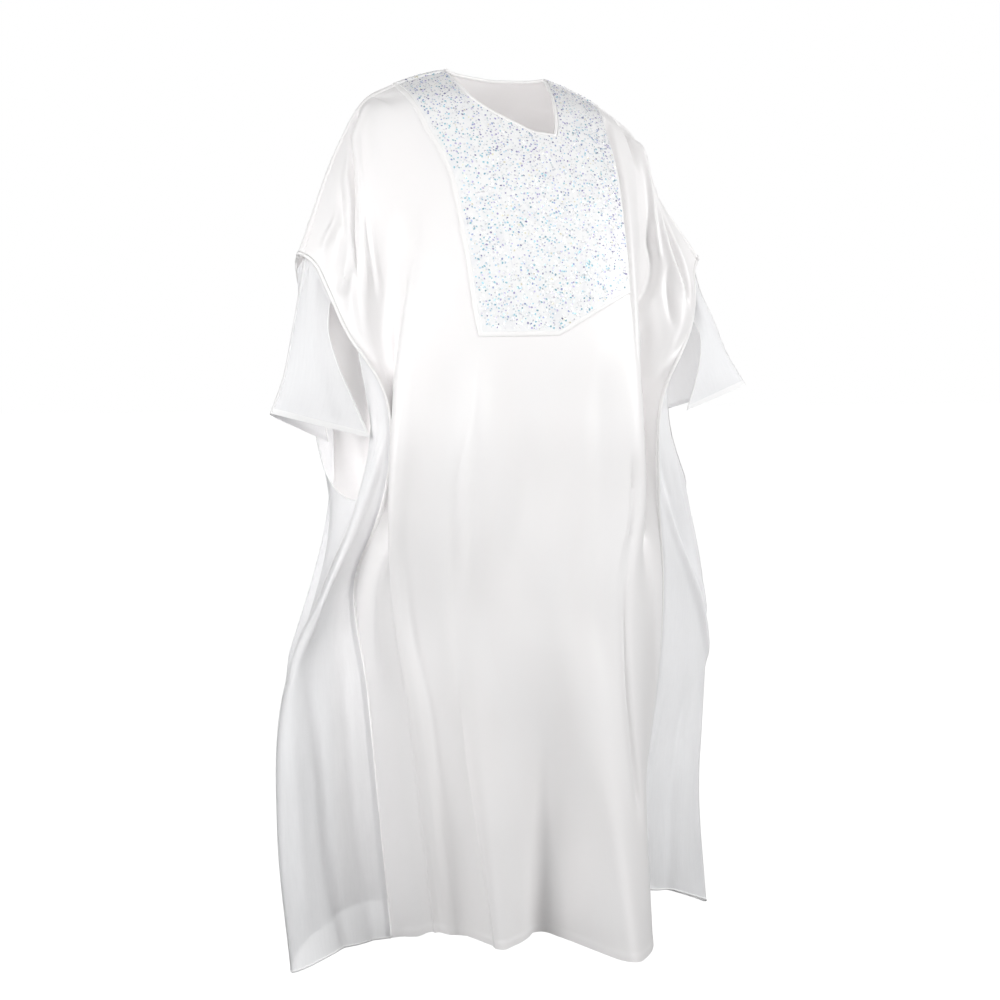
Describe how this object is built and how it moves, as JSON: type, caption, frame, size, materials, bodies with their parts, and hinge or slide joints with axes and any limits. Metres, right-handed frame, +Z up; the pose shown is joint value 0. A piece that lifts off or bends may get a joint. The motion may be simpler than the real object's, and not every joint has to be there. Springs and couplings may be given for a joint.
{
  "type": "grand boubou robe",
  "caption": "Full-length loose robe with winged shoulder caps, sheer flared sleeves and side gores, and a sequined slanting bib below a curved V neck.",
  "frame": {"origin": "centre of the wearer's neck, in the robe's middle plane, 10 mm above the shoulder seams' ends at the neck opening", "axes": "+Z up the wearer's neck, front faces -Y, the wearer's left is +X"},
  "size_m": [0.857, 0.5092, 1.4202],
  "materials": {
    "satin": "white satin with a soft sheen, slightly see-through at its edges",
    "organza": "sheer white organza",
    "sequin_mesh": "white mesh sewn all over with small blue, violet and white sequins",
    "satin_trim": "narrow white satin binding and piping"
  },
  "bodies": {
    "root": {"front_panel": "satin", "back_panel": "satin", "bib": "sequin_mesh", "bib_band": "satin_trim", "neck_binding": "satin_trim", "front_piping_right": "satin_trim", "front_piping_left": "satin_trim", "back_piping_right": "satin_trim", "back_piping_left": "satin_trim", "front_gore_right": "organza", "front_gore_left": "organza", "back_gore_right": "organza", "back_gore_left": "organza", "sleeve_right": "organza", "sleeve_left": "organza"}
  },
  "joints": []
}
